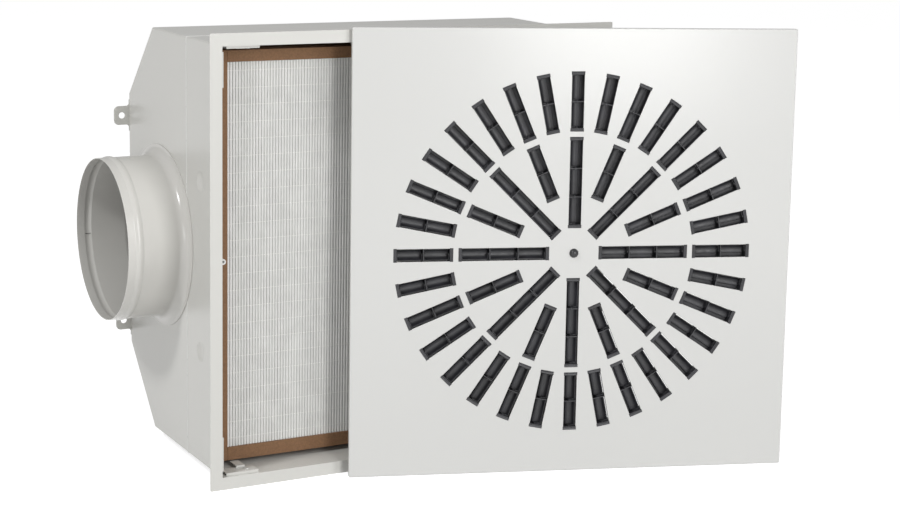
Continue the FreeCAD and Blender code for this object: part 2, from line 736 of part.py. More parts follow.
# Face plate: a folded pan with rings of slots, in its own frame and then set in its place
in_place = plate_pose()
pan = document.addObject("PartDesign::Body", "pan")
pan_face = sketch_on(pan, "XZ_Plane", "face")
rectangle(pan_face, "(plate_size / 2)", "(plate_size / 2)")
pan_block = feature(pan, "Pad", "block", pan_face, "plate_rim", back=True)
trim(pan, "Fillet", pan_block, "Radius", "plate_sheet", lambda edge: not lies_at(edge, "y", real.plate_rim))
pan_inside = sketch_on(pan, "XZ_Plane", "inside", "-plate_sheet")
rectangle(pan_inside, "(plate_size / 2 - plate_sheet)", "(plate_size / 2 - plate_sheet)")
feature(pan, "Pocket", "hollow", pan_inside, "plate_rim")
screw_hole = sketch_on(pan, "XZ_Plane", "centre_hole")
circle(screw_hole, "0", "0", "screw_diameter / 2 + screw_clearance")
feature(pan, "Pocket", "screw_opening", screw_hole, "plate_rim")
for row, plan in SLOT_ROWS.items():
    slot = sketch_on(pan, "XZ_Plane", f"{row}_slot", turn=plan["turn"])
    start, finish = f"{row}_slot_start", f"({row}_slot_start + {row}_slot_length)"
    upper = [
        (start, "slot_end_width / 2"), (f"{start} + slot_end", "slot_end_width / 2"),
        (f"{start} + slot_end", "slot_width / 2"), (f"{finish} - slot_end", "slot_width / 2"),
        (f"{finish} - slot_end", "slot_end_width / 2"), (finish, "slot_end_width / 2"),
    ]
    outline(slot, upper + [(along, f"-{across}") for along, across in reversed(upper)])
    opening = feature(pan, "Pocket", f"{row}_opening", slot, "plate_rim")
    document.recompute()
    ring = pan.newObject("PartDesign::PolarPattern", f"{row}_ring")
    ring.Originals = [opening]
    ring.Axis = (next(item for item in pan.Origin.OriginFeatures if item.Role == "Y_Axis"), [""])
    ring.Angle = 360
    ring.Occurrences = plan["copies"]
    pan.Tip = ring
pan.Placement = in_place
keep(pan, "face_plate")

# Slot inserts, each a carrier with bearing holes; drawn along a slot, across it and into the plate
insert_back = "insert_depth - insert_recess"
rail_place = "(slot_end_width / 2 - insert_gap)"


def cell_length(row):
    """Length of the room for one blade in a slot."""
    count = SLOT_ROWS[row]["blades"]
    return f"(({row}_slot_length - 2 * slot_end - {count - 1} * insert_web) / {count})"


def carrier(row):
    """Insert of one slot: end caps, cross webs, two rails behind the plate and one behind the blades."""
    start, count = f"{row}_slot_start", SLOT_ROWS[row]["blades"]
    rail_outer = f"({rail_place} + insert_rail)"
    cap = ("slot_end - insert_gap", f"2 * {rail_place}", insert_back)
    far_cap = f"{start} + {row}_slot_length - slot_end"
    parts = [
        box("cap", cap, (f"{start} + insert_gap", f"-{rail_place}", "insert_recess")),
        box("cap", cap, (far_cap, f"-{rail_place}", "insert_recess")),
    ]
    rail = (f"{row}_slot_length - 2 * insert_gap", f"{rail_outer} - slot_width / 2 - insert_gap",
            "insert_rail_depth")
    for side in (f"-{rail_outer}", "slot_width / 2 + insert_gap"):
        parts.append(box("rail", rail, (f"{start} + insert_gap", side, "plate_sheet")))
    back_rail = (f"{row}_slot_length - 2 * insert_gap", f"{rail_outer} - insert_back_start", "insert_back_sheet")
    parts.append(box("back_rail", back_rail,
                     (f"{start} + insert_gap", "insert_back_start", "insert_depth - insert_back_sheet")))
    for index in range(count - 1):
        web = f"{start} + slot_end + {index + 1} * {cell_length(row)} + {index} * insert_web"
        parts.append(box("web", ("insert_web", "slot_width - 2 * insert_gap", insert_back),
                         (web, "-(slot_width / 2 - insert_gap)", "insert_recess")))
        parts.append(box("web_tie", ("insert_web", f"2 * {rail_outer}", "insert_rail_depth"),
                         (web, f"-{rail_outer}", "plate_sheet")))
    bearing = rod("bearing", "pin_diameter / 2 + pin_clearance", f"{row}_slot_length",
                  (start, "0", "blade_axis"), ACROSS)
    return cut(f"{row}_carrier", join(f"{row}_carrier_form", parts), bearing)


def carriers(row):
    """The inserts of one ring of slots."""
    plan, form = SLOT_ROWS[row], carrier(row)
    return [
        group(f"{row}_insert", [form], row_turn(plan["turn"] + 360.0 * index / plan["copies"]))
        for index in range(plan["copies"])
    ]


keep(group("outer_ring", carriers("outer"), in_place), "outer_slot_inserts")
keep(group("inner_ring", carriers("long") + carriers("short"), in_place), "inner_slot_inserts")


def blade(row, index):
    """Scooped blade with closed ends and a pin at each end, in a slot's own frame."""
    engaged = "((insert_web - pin_end_gap) / 2)"
    start = f"({row}_slot_start + slot_end + {index} * ({cell_length(row)} + insert_web) + blade_gap)"
    length = f"({cell_length(row)} - 2 * blade_gap)"
    pin_start = f"{start} - blade_gap - {engaged}"
    shell = rod("blade_shell", "blade_radius", length, (start, "0", "blade_axis"), ACROSS)
    radians = math.radians(real.blade_start)
    leading = Vector(0, math.cos(radians), math.sin(radians))
    shell.Placement = Placement(Vector(), Rotation(leading, ACROSS.cross(leading), ACROSS, "ZXY"))
    tie(shell, "Angle", "180 - blade_start")
    hub = rod("blade_hub", "hub_diameter / 2", length, (start, "0", "blade_axis"), ACROSS)
    pin = rod("blade_pin", "pin_diameter / 2", f"{length} + 2 * (blade_gap + {engaged})",
              (pin_start, "0", "blade_axis"), ACROSS)
    scoop = rod("blade_scoop", "blade_radius - blade_sheet", f"{length} - 2 * blade_wall",
                (f"{start} + blade_wall", "0", "blade_axis"), ACROSS)
    return cut(f"{row}_blade", join("blade_form", [shell, hub, pin]), scoop)


row_blades = {
    row: [blade(row, index) for index in range(plan["blades"])] for row, plan in SLOT_ROWS.items()
}
for line in range(OUTER_SLOTS):
    angle = line * 360.0 / OUTER_SLOTS
    linked = []
    for row, plan in SLOT_ROWS.items():
        if (angle - plan["turn"]) % (360.0 / plan["copies"]) == 0:
            linked += row_blades[row]
    keep(group("blade_row", linked, in_place * row_turn(angle)), f"blades_{line + 1:02d}")

# Captive screw of the face plate and the dome cap over its head
screw_shank = rod("screw_shank", "screw_diameter / 2", "screw_length", ("0", "0", "0"), BACK)
screw_top = rod("screw_top", "screw_head / 2", "screw_head_height", ("0", "0", "0"), FORWARD)
screw = join("screw", [screw_shank, screw_top])
screw.Placement = in_place
keep(screw, "centre_screw")
dome_radius = "(((cap_diameter / 2) ^ 2 + cap_height ^ 2) / (2 * cap_height))"
dome = document.addObject("Part::Sphere", "cap_dome")
dome.Placement = Placement(Vector(), Rotation(UP, FORWARD))
tie(dome, "Radius", dome_radius)
tie(dome, "Angle1", f"asin(1 - cap_height / {dome_radius})")
move(dome, "0", f"{dome_radius} - cap_height")
cap = cut("cap", dome, screw_top)
cap.Placement = in_place
keep(cap, "screw_cap")

document.recompute()
faulty = [thing.Label for thing in document.Objects if {"Invalid", "Error"} & set(thing.State)]
faulty += [thing.Label for thing in nodes if thing.Shape.isNull() or not thing.Shape.isValid()]
if faulty:
    raise ValueError("pieces that failed: " + ", ".join(faulty))
os.makedirs("parts", exist_ok=True)
for thing in nodes:
    thing.Shape.exportStep(f"parts/{thing.Label}.step")
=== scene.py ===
"""Looks of the filter housing and its taken-off face plate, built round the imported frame.

Every length is in metres, in the frame of the part: X right along the flange, Y back into the
housing, Z up, with the origin in the middle of the front opening. Angles that a class holds are
in degrees.
"""
from __future__ import annotations

import json
import logging
import math
from dataclasses import dataclass, field
from enum import Enum
from typing import Callable, Iterable, Sequence

import bpy
from mathutils import Matrix, Vector

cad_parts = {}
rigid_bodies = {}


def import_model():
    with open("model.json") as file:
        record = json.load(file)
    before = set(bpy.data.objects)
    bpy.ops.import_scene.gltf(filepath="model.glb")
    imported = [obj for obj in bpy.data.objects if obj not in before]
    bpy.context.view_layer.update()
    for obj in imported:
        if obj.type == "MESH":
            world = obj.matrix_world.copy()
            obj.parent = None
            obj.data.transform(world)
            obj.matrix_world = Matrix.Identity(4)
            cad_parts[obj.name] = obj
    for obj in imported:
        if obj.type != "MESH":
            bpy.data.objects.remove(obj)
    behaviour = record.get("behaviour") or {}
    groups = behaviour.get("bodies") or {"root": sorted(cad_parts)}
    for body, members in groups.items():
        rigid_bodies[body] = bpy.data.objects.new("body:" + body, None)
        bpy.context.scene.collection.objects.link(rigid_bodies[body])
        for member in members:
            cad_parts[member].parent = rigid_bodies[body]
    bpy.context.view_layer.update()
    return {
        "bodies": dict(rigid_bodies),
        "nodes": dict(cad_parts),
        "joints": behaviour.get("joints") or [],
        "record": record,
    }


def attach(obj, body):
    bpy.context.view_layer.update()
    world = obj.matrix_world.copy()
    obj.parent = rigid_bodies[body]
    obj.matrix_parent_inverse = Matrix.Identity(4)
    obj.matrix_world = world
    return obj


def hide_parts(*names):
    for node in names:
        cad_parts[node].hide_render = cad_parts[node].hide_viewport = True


LOG = logging.getLogger("filter_housing")
MM = 0.001
MERGE_DISTANCE = 2e-6

Colour = tuple[float, float, float]
Triple = tuple[float, float, float]


class Slot(Enum):
    """Material slots of the record."""

    HOUSING = "coated_steel"
    COLLAR = "collar_steel"
    PLATE = "white_enamel"
    ZINC = "zinc_steel"
    BOARD = "fibre_board"
    PAPER = "filter_paper"
    GASKET = "gasket_foam"
    THREAD = "glue_thread"
    BLADE = "black_plastic"
    DARK = "dark_plastic"
    PALE = "pale_plastic"


class Shader:
    """Material with a Principled shader and the node chains that feed it."""

    noise_low = 0.3
    noise_high = 0.7

    def __init__(self, name: str) -> None:
        """Start a material.

        Args:
            name: Name of the material.
        """
        self.material = bpy.data.materials.new(name)
        self.material.use_nodes = True
        self.tree = self.material.node_tree
        self.surface = self.tree.nodes["Principled BSDF"]
        self.place = self.tree.nodes.new("ShaderNodeTexCoord").outputs["Object"]

    def node(self, kind: str) -> bpy.types.Node:
        """Add a node by its type without the prefix."""
        return self.tree.nodes.new(f"ShaderNode{kind}")

    def link(self, source: bpy.types.NodeSocket, target: bpy.types.NodeSocket) -> None:
        """Join an output to an input."""
        self.tree.links.new(source, target)

    def feed(self, name: str, source: bpy.types.NodeSocket) -> None:
        """Join an output to a named input of the surface."""
        self.link(source, self.surface.inputs[name])

    def fix(self, name: str, value: float | Sequence[float]) -> None:
        """Set a named input of the surface to one value."""
        self.surface.inputs[name].default_value = value

    def noise(self, scale: float, detail: float = 3.0) -> bpy.types.NodeSocket:
        """Cloudy noise over the surface.

        Args:
            scale: Patches per metre.
            detail: Octaves of finer noise.

        Returns:
            The noise value, mostly between noise_low and noise_high.
        """
        cloud = self.node("TexNoise")
        cloud.inputs["Scale"].default_value = scale
        cloud.inputs["Detail"].default_value = detail
        self.link(self.place, cloud.inputs["Vector"])
        return cloud.outputs["Fac"]

    def between(self, value: bpy.types.NodeSocket, low: float, high: float) -> bpy.types.NodeSocket:
        """Noise stretched to another span.

        Args:
            value: Noise value.
            low: Result where the noise is low.
            high: Result where it is high.

        Returns:
            The stretched value.
        """
        ranged = self.node("MapRange")
        self.link(value, ranged.inputs["Value"])
        spans = {"From Min": self.noise_low, "From Max": self.noise_high, "To Min": low, "To Max": high}
        for key, number in spans.items():
            ranged.inputs[key].default_value = number
        return ranged.outputs["Result"]

    def tint(self, value: bpy.types.NodeSocket,
             stops: Iterable[tuple[float, Colour]]) -> bpy.types.NodeSocket:
        """Colour that runs through stops as a value rises.

        Args:
            value: Value that picks the colour.
            stops: Value and colour of each stop, lowest first.

        Returns:
            The colour.
        """
        stops = list(stops)
        ramp = self.node("ValToRGB")
        elements = ramp.color_ramp.elements
        while len(elements) < len(stops):
            elements.new(0.5)
        for element, (place, colour) in zip(elements, stops):
            element.position = place
            element.color = (*colour, 1.0)
        self.link(value, ramp.inputs["Fac"])
        return ramp.outputs["Color"]

    def bump(self, height: bpy.types.NodeSocket, depth: float, strength: float = 1.0) -> None:
        """Roughen the surface's normal.

        Args:
            height: Value that rises and falls over the surface.
            depth: Metres between its low and high places.
            strength: Share of the effect.
        """
        made = self.node("Bump")
        made.inputs["Distance"].default_value = depth
        made.inputs["Strength"].default_value = strength
        self.link(height, made.inputs["Height"])
        self.feed("Normal", made.outputs["Normal"])


def shaded(colour: Colour, share: float) -> Colour:
    """Colour made darker or lighter by a share."""
    return tuple(min(part * share, 1.0) for part in colour)


def seen_rays(tree: bpy.types.NodeTree, gloss: float = 1.0) -> bpy.types.NodeSocket:
    """Whether a ray comes from the camera, or by way of gloss or glass.

    Args:
        tree: Node tree of a material or of the world.
        gloss: Worth of a ray that comes by way of gloss.

    Returns:
        Up to one for such a ray, and zero for a ray that only carries light.
    """
    rays = tree.nodes.new("ShaderNodeLightPath")
    glossy = tree.nodes.new("ShaderNodeMath")
    glossy.operation = "MULTIPLY"
    glossy.inputs[1].default_value = gloss
    tree.links.new(rays.outputs["Is Glossy Ray"], glossy.inputs[0])
    seen = rays.outputs["Is Camera Ray"]
    for other in (glossy.outputs["Value"], rays.outputs["Is Transmission Ray"]):
        either = tree.nodes.new("ShaderNodeMath")
        either.operation = "MAXIMUM"
        tree.links.new(seen, either.inputs[0])
        tree.links.new(other, either.inputs[1])
        seen = either.outputs["Value"]
    return seen


@dataclass(frozen=True)
class Paint:
    """Sprayed coat on sheet metal: even colour, slight orange peel and a soft sheen."""

    name: str
    colour: Colour
    roughness: float
    peel: float = 0.02 * MM
    drift: float = 0.006
    mottle: float = 0.006
    drift_scale: float = 3.5
    mottle_scale: float = 60.0
    peel_scale: float = 420.0
    peel_strength: float = 0.35
    drift_stops: tuple[float, float] = (0.35, 0.65)

    def build(self) -> bpy.types.Material:
        """Make the material."""
        shader = Shader(self.name)
        colours = shaded(self.colour, 1.0 - self.drift), shaded(self.colour, 1.0 + self.drift)
        clouds = shader.noise(self.drift_scale, detail=2.0)
        shader.feed("Base Color", shader.tint(clouds, zip(self.drift_stops, colours)))
        patches = shader.noise(self.mottle_scale, detail=4.0)
        shader.feed("Roughness", shader.between(patches, self.roughness - self.mottle,
                                                self.roughness + self.mottle))
        shader.bump(shader.noise(self.peel_scale, detail=2.0), self.peel, self.peel_strength)
        return shader.material


@dataclass(frozen=True)
class Zinc:
    """Plated steel of the crossbar, its nut and the screws, with faint spangle."""

    name: str
    colour: Colour
    roughness: float
    spangle_scale: float = 260.0
    spangle_share: float = 0.94
    mottle_scale: float = 180.0
    mottle: float = 0.06
    grain_scale: float = 700.0
    grain: float = 0.01 * MM
    metallic: float = 0.35

    def build(self) -> bpy.types.Material:
        """Make the material."""
        shader = Shader(self.name)
        cells = shader.node("TexVoronoi")
        cells.inputs["Scale"].default_value = self.spangle_scale
        shader.link(shader.place, cells.inputs["Vector"])
        colours = shaded(self.colour, self.spangle_share), self.colour
        shader.feed("Base Color", shader.tint(cells.outputs["Distance"], zip((0.0, 1.0), colours)))
        patches = shader.noise(self.mottle_scale)
        shader.feed("Roughness", shader.between(patches, self.roughness - self.mottle,
                                                self.roughness + self.mottle))
        shader.bump(shader.noise(self.grain_scale), self.grain)
        shader.fix("Metallic", self.metallic)
        return shader.material


@dataclass(frozen=True)
class FibreBoard:
    """Stained fibre board with fine chips."""

    name: str
    colour: Colour
    roughness: float = 0.78
    dark_share: float = 0.84
    light_share: float = 1.14
    chip_scale: float = 520.0
    chip_stops: Triple = (0.32, 0.52, 0.7)
    grain_scale: float = 900.0
    grain: float = 0.12 * MM

    def build(self) -> bpy.types.Material:
        """Make the material."""
        shader = Shader(self.name)
        colours = (shaded(self.colour, self.dark_share), self.colour,
                   shaded(self.colour, self.light_share))
        chips = shader.noise(self.chip_scale, detail=6.0)
        shader.feed("Base Color", shader.tint(chips, zip(self.chip_stops, colours)))
        shader.fix("Roughness", self.roughness)
        shader.bump(shader.noise(self.grain_scale, detail=5.0), self.grain)
        return shader.material


@dataclass(frozen=True)
class Paper:
    """Glass fibre paper of the pleats."""

    name: str
    colour: Colour
    roughness: float = 0.85
    dim_share: float = 0.93
    patch_scale: float = 45.0
    patch_stops: tuple[float, float] = (0.35, 0.65)
    grain_scale: float = 1500.0
    grain: float = 0.06 * MM

    def build(self) -> bpy.types.Material:
        """Make the material."""
        shader = Shader(self.name)
        colours = shaded(self.colour, self.dim_share), self.colour
        patches = shader.noise(self.patch_scale, detail=4.0)
        shader.feed("Base Color", shader.tint(patches, zip(self.patch_stops, colours)))
        shader.fix("Roughness", self.roughness)
        shader.bump(shader.noise(self.grain_scale, detail=6.0), self.grain)
        return shader.material


@dataclass(frozen=True)
class Moulded:
    """Moulded plastic or rubber with a fine grain and a lighter bloom in patches."""

    name: str
    colour: Colour
    roughness: float
    lift: float = 1.5
    specular: float = 0.5
    bloom_scale: float = 35.0
    bloom_stops: tuple[float, float] = (0.35, 0.68)
    mottle_scale: float = 140.0
    smoother: float = 0.06
    rougher: float = 0.08
    grain_scale: float = 1300.0
    grain: float = 0.03 * MM

    def build(self) -> bpy.types.Material:
        """Make the material."""
        shader = Shader(self.name)
        colours = self.colour, shaded(self.colour, self.lift)
        bloom = shader.noise(self.bloom_scale, detail=5.0)
        shader.feed("Base Color", shader.tint(bloom, zip(self.bloom_stops, colours)))
        patches = shader.noise(self.mottle_scale, detail=4.0)
        shader.feed("Roughness", shader.between(patches, self.roughness - self.smoother,
                                                self.roughness + self.rougher))
        shader.bump(shader.noise(self.grain_scale), self.grain)
        shader.fix("Specular IOR Level", self.specular)
        return shader.material


@dataclass(frozen=True)
class Floor:
    """Pale studio floor that shows white to the camera and keeps the shadow."""

    name: str = "studio_floor"
    colour: Colour = (0.66, 0.66, 0.66)
    lift: float = 0.74

    def build(self) -> bpy.types.Material:
        """Make the material."""
        shader = Shader(self.name)
        shader.fix("Base Color", (*self.colour, 1.0))
        shader.fix("Roughness", 1.0)
        shader.fix("Specular IOR Level", 0.0)
        lifted = shader.node("Math")
        lifted.operation = "MULTIPLY"
        lifted.inputs[1].default_value = self.lift
        shader.link(seen_rays(shader.tree), lifted.inputs[0])
        shader.fix("Emission Color", (1.0, 1.0, 1.0, 1.0))
        shader.feed("Emission Strength", lifted.outputs["Value"])
        return shader.material


FINISHES: dict[Slot, Paint | Zinc | FibreBoard | Paper | Moulded] = {
    Slot.HOUSING: Paint("housing_coat", (0.60, 0.595, 0.565), 0.28),
    Slot.COLLAR: Paint("collar_coat", (0.61, 0.60, 0.57), 0.2),
    Slot.PLATE: Paint("plate_enamel", (0.585, 0.585, 0.57), 0.2, peel=0.002 * MM, drift=0.001, mottle=0.001),
    Slot.ZINC: Zinc("zinc_plate", (0.62, 0.62, 0.60), 0.38),
    Slot.BOARD: FibreBoard("fibre_board", (0.205, 0.108, 0.052)),
    Slot.PAPER: Paper("filter_paper", (0.74, 0.74, 0.72)),
    Slot.GASKET: Moulded("gasket_foam", (0.02, 0.02, 0.02), 0.9),
    Slot.THREAD: Moulded("glue_thread", (0.78, 0.775, 0.745), 0.5, lift=1.03),
    Slot.BLADE: Moulded("blade_plastic", (0.008, 0.008, 0.010), 0.48, lift=2.6, specular=0.7),
    Slot.DARK: Moulded("cap_plastic", (0.018, 0.018, 0.02), 0.3),
    Slot.PALE: Moulded("port_plastic", (0.70, 0.70, 0.68), 0.3, lift=1.04),
}


class Bench:
    """Small steps of modelling, each by the operators that a modeller would use."""

    seed_size = 0.01
    merge_distance = 1e-6
    normal_weight = 80

    @staticmethod
    def deselect() -> None:
        """Leave edit mode and select nothing."""
        if bpy.context.object and bpy.context.object.mode != "OBJECT":
            bpy.ops.object.mode_set(mode="OBJECT")
        bpy.ops.object.select_all(action="DESELECT")

    @staticmethod
    def hold(piece: bpy.types.Object) -> bpy.types.Object:
        """Select one piece alone and make it the active one.

        Args:
            piece: Piece to hold.

        Returns:
            The same piece.
        """
        Bench.deselect()
        piece.select_set(True)
        bpy.context.view_layer.objects.active = piece
        return piece

    @staticmethod
    def settle(piece: bpy.types.Object) -> bpy.types.Object:
        """Bake a piece's place, turn and scale into its mesh.

        Args:
            piece: Piece to settle.

        Returns:
            The same piece.
        """
        Bench.hold(piece)
        bpy.ops.object.transform_apply(location=True, rotation=True, scale=True)
        return piece

    @staticmethod
    def block(low: Sequence[float], high: Sequence[float]) -> bpy.types.Object:
        """Block between two corners.

        Args:
            low: Lowest corner.
            high: Highest corner.

        Returns:
            The block.
        """
        Bench.deselect()
        middle = [(a + b) / 2 for a, b in zip(low, high)]
        size = [b - a for a, b in zip(low, high)]
        bpy.ops.mesh.primitive_cube_add(size=1.0, location=middle, scale=size)
        return Bench.settle(bpy.context.object)

    @staticmethod
    def rod(start: Sequence[float], end: Sequence[float], radius: float, sides: int) -> bpy.types.Object:
        """Round rod between two points.

        Args:
            start: Middle of one end.
            end: Middle of the other end.
            radius: Radius of the rod.
            sides: Flat faces round it.

        Returns:
            The rod.
        """
        Bench.deselect()
        run = Vector(end) - Vector(start)
        turn = Vector((0, 0, 1)).rotation_difference(run.normalized()).to_euler()
        bpy.ops.mesh.primitive_cylinder_add(vertices=sides, radius=radius, depth=run.length,
                                            location=(Vector(start) + Vector(end)) / 2, rotation=turn)
        return Bench.settle(bpy.context.object)

    @staticmethod
    def line(points: Sequence[Sequence[float]]) -> bpy.types.Object:
        """Line through points, each drawn out of the one before.

        Args:
            points: The points in order.

        Returns:
            The line, as edges without faces.
        """
        Bench.deselect()
        bpy.ops.mesh.primitive_plane_add(size=Bench.seed_size, location=points[0])
        piece = Bench.settle(bpy.context.object)
        Bench.edit(piece)
        bpy.ops.mesh.merge(type="CENTER")
        for before, after in zip(points, points[1:]):
            step = Vector(after) - Vector(before)
            bpy.ops.mesh.extrude_vertices_move(TRANSFORM_OT_translate={"value": step})
        return Bench.close(piece)

    @staticmethod
    def draw_out(piece: bpy.types.Object, run: Sequence[float], fill: bool = False) -> bpy.types.Object:
        """Draw a line out into a sheet, or a filled outline into a solid.

        Args:
            piece: Line or closed outline.
            run: Way that it is drawn.
            fill: Whether the outline is filled first.

        Returns:
            The drawn-out piece.
        """
        Bench.edit(piece)
        if fill:
            bpy.ops.mesh.edge_face_add()
        bpy.ops.mesh.extrude_region_move(TRANSFORM_OT_translate={"value": run})
        Bench.close(piece)
        return Bench.outward(piece)

    @staticmethod
    def pick_faces(piece: bpy.types.Object, test: Callable[[Vector], bool]) -> None:
        """Open a piece with some of its faces selected.

        Args:
            piece: Piece to open in edit mode.
            test: Says of a face's middle whether the face is picked.
        """
        Bench.edit(piece, everything=False)
        bpy.ops.mesh.select_mode(type="FACE")
        bpy.ops.object.mode_set(mode="OBJECT")
        for face in piece.data.polygons:
            face.select = test(face.center)
        bpy.ops.object.mode_set(mode="EDIT")

    @staticmethod
    def edit(piece: bpy.types.Object, everything: bool = True) -> None:
        """Open a piece in edit mode.

        Args:
            piece: Piece to open.
            everything: Whether all of it is selected, or none of it.
        """
        Bench.hold(piece)
        bpy.ops.object.mode_set(mode="EDIT")
        bpy.ops.mesh.select_all(action="SELECT" if everything else "DESELECT")

    @staticmethod
    def close(piece: bpy.types.Object) -> bpy.types.Object:
        """Leave edit mode."""
        bpy.ops.object.mode_set(mode="OBJECT")
        return piece

    @staticmethod
    def outward(piece: bpy.types.Object) -> bpy.types.Object:
        """Merge doubles and turn the faces outward.

        Args:
            piece: Piece with loose or turned faces.

        Returns:
            The same piece.
        """
        Bench.edit(piece)
        bpy.ops.mesh.remove_doubles(threshold=Bench.merge_distance)
        bpy.ops.mesh.normals_make_consistent(inside=False)
        return Bench.close(piece)

    @staticmethod
    def modify(piece: bpy.types.Object, kind: str, **values: object) -> bpy.types.Object:
        """Add a modifier and apply it.

        Args:
            piece: Object to change.
            kind: Modifier type.
            values: Its settings.

        Returns:
            The changed object.
        """
        Bench.hold(piece)
        modifier = piece.modifiers.new(kind.lower(), kind)
        for key, value in values.items():
            setattr(modifier, key, value)
        bpy.ops.object.modifier_apply(modifier=modifier.name)
        return piece

    @staticmethod
    def ease(piece: bpy.types.Object, width: float, segments: int = 2,
             angle: float = 30.0) -> bpy.types.Object:
        """Round the sharp edges and shade the rounds smooth.

        Args:
            piece: Piece to ease.
            width: Width of each round.
            segments: Steps of each round.
            angle: Angle in degrees above which an edge is sharp.

        Returns:
            The same piece.
        """
        Bench.modify(piece, "BEVEL", width=width, segments=segments, limit_method="ANGLE",
                     angle_limit=math.radians(angle), use_clamp_overlap=True)
        Bench.smooth(piece)
        return Bench.modify(piece, "WEIGHTED_NORMAL", weight=Bench.normal_weight, keep_sharp=True)

    @staticmethod
    def smooth(piece: bpy.types.Object, angle: float = 40.0) -> bpy.types.Object:
        """Shade smooth, apart from edges sharper than an angle.

        Args:
            piece: Piece to shade.
            angle: The angle in degrees.

        Returns:
            The same piece.
        """
        Bench.hold(piece)
        bpy.ops.object.shade_smooth_by_angle(angle=math.radians(angle))
        return piece

    @staticmethod
    def named(piece: bpy.types.Object, name: str) -> bpy.types.Object:
        """Give a piece and its mesh a name."""
        piece.name = piece.data.name = name
        return piece

    @staticmethod
    def join(name: str, parts: Iterable[bpy.types.Object]) -> bpy.types.Object:
        """Join parts into one object under a name.

        Args:
            name: Name of the object and its mesh.
            parts: Two parts or more.

        Returns:
            The joined object.
        """
        parts = list(parts)
        Bench.hold(parts[0])
        for part in parts[1:]:
            part.select_set(True)
        bpy.ops.object.join()
        return Bench.named(bpy.context.object, name)

    @staticmethod
    def copy(piece: bpy.types.Object, matrix: Matrix | None = None) -> bpy.types.Object:
        """Copy a piece with a mesh of its own.

        Args:
            piece: Piece to copy.
            matrix: Move of the copy's mesh, if it moves.

        Returns:
            The copy.
        """
        twin = piece.copy()
        twin.data = piece.data.copy()
        bpy.context.scene.collection.objects.link(twin)
        if matrix is not None:
            twin.data.transform(matrix)
        return twin

    @staticmethod
    def scrap(*pieces: bpy.types.Object) -> None:
        """Throw away pieces that were only a pattern."""
        for piece in pieces:
            bpy.data.objects.remove(piece)


@dataclass
class Workshop:
    """Keeps the frame and the finishes, and hands pieces over to them."""

    frame: dict
    materials: dict[Slot, bpy.types.Material] = field(default_factory=dict)
    flat_angle: float = 0.5

    def finish(self, slot: Slot) -> bpy.types.Material:
        """Material of a slot, made when it is first asked for.

        Args:
            slot: Slot of the record.

        Returns:
            The slot's material.
        """
        if slot not in self.materials:
            self.materials[slot] = FINISHES[slot].build()
        return self.materials[slot]

    def dress(self, piece: bpy.types.Object, slot: Slot) -> None:
        """Give a piece one finish all over."""
        piece.data.materials.clear()
        piece.data.materials.append(self.finish(slot))

    def dress_node(self, name: str) -> None:
        """Give a node of the frame the finish of its own slot.

        Args:
            name: Name of the node.
        """
        slots = {item["node"]: item["material_slot"] for item in self.frame["record"]["subparts"]}
        node = self.frame["nodes"][name]
        material = self.finish(Slot(slots[name]))
        for holder in node.material_slots:
            holder.material = material
        LOG.info("dressed %s", name)

    def hand_over(self, piece: bpy.types.Object, body: str, slot: Slot, *nodes: str) -> None:
        """Dress a new piece, set it on its body and let it stand for nodes.

        Args:
            piece: The finished piece.
            body: Body that it moves with.
            slot: Finish.
            nodes: Nodes that it replaces.
        """
        self.dress(piece, slot)
        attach(piece, body)
        if nodes:
            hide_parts(*nodes)
        LOG.info("%s: %d faces on %s", piece.name, len(piece.data.polygons), body)

    def joint(self, name: str) -> dict:
        """Joint of the frame."""
        return next(item for item in self.frame["joints"] if item["name"] == name)

    def refined(self, node: str, width: float) -> bpy.types.Object:
        """Copy of a node with its flat faces cleaned up and its edges eased.

        Args:
            node: Node to copy.
            width: Width of the eased edges.

        Returns:
            The copy, named after the node.
        """
        piece = Bench.copy(self.frame["nodes"][node])
        for key in list(piece.keys()):
            del piece[key]
        piece.parent = None
        Bench.named(piece, f"{node}_finished")
        Bench.edit(piece)
        bpy.ops.mesh.remove_doubles(threshold=MERGE_DISTANCE)
        bpy.ops.mesh.dissolve_limited(angle_limit=math.radians(self.flat_angle))
        Bench.close(piece)
        return Bench.ease(piece, width)


@dataclass(frozen=True)
class Lamp:
    """Soft rectangular lamp.

    Attributes:
        name: Name of the lamp.
        place: Its middle.
        target: Point that it faces.
        width: Level width.
        height: Height of the lit field.
        watts: Power.
    """

    name: str
    place: Triple
    target: Triple
    width: float
    height: float
    watts: float

    def build(self) -> None:
        """Hang the lamp in the scene."""
        data = bpy.data.lights.new(self.name, "AREA")
        data.shape = "RECTANGLE"
        data.size = self.width
        data.size_y = self.height
        data.energy = self.watts
        lamp = bpy.data.objects.new(self.name, data)
        lamp.location = self.place
        toward = Vector(self.target) - Vector(self.place)
        lamp.rotation_euler = toward.to_track_quat("-Z", "Y").to_euler()
        bpy.context.scene.collection.objects.link(lamp)


LAMPS = (
    Lamp("key", (0.0, -3.0, 1.05), (0.0, 0.0, 0.0), 0.6, 2.3, 43.0),
    Lamp("fill", (1.35, -2.9, 0.95), (-0.1, 0.0, -0.1), 0.8, 2.2, 18.0),
    Lamp("side", (-2.3, -0.7, 2.3), (-0.3, 0.1, 0.0), 0.4, 0.4, 38.0),
    Lamp("low side", (-2.8, -2.0, 0.4), (-0.3, 0.2, 0.0), 0.8, 0.8, 13.0),
)


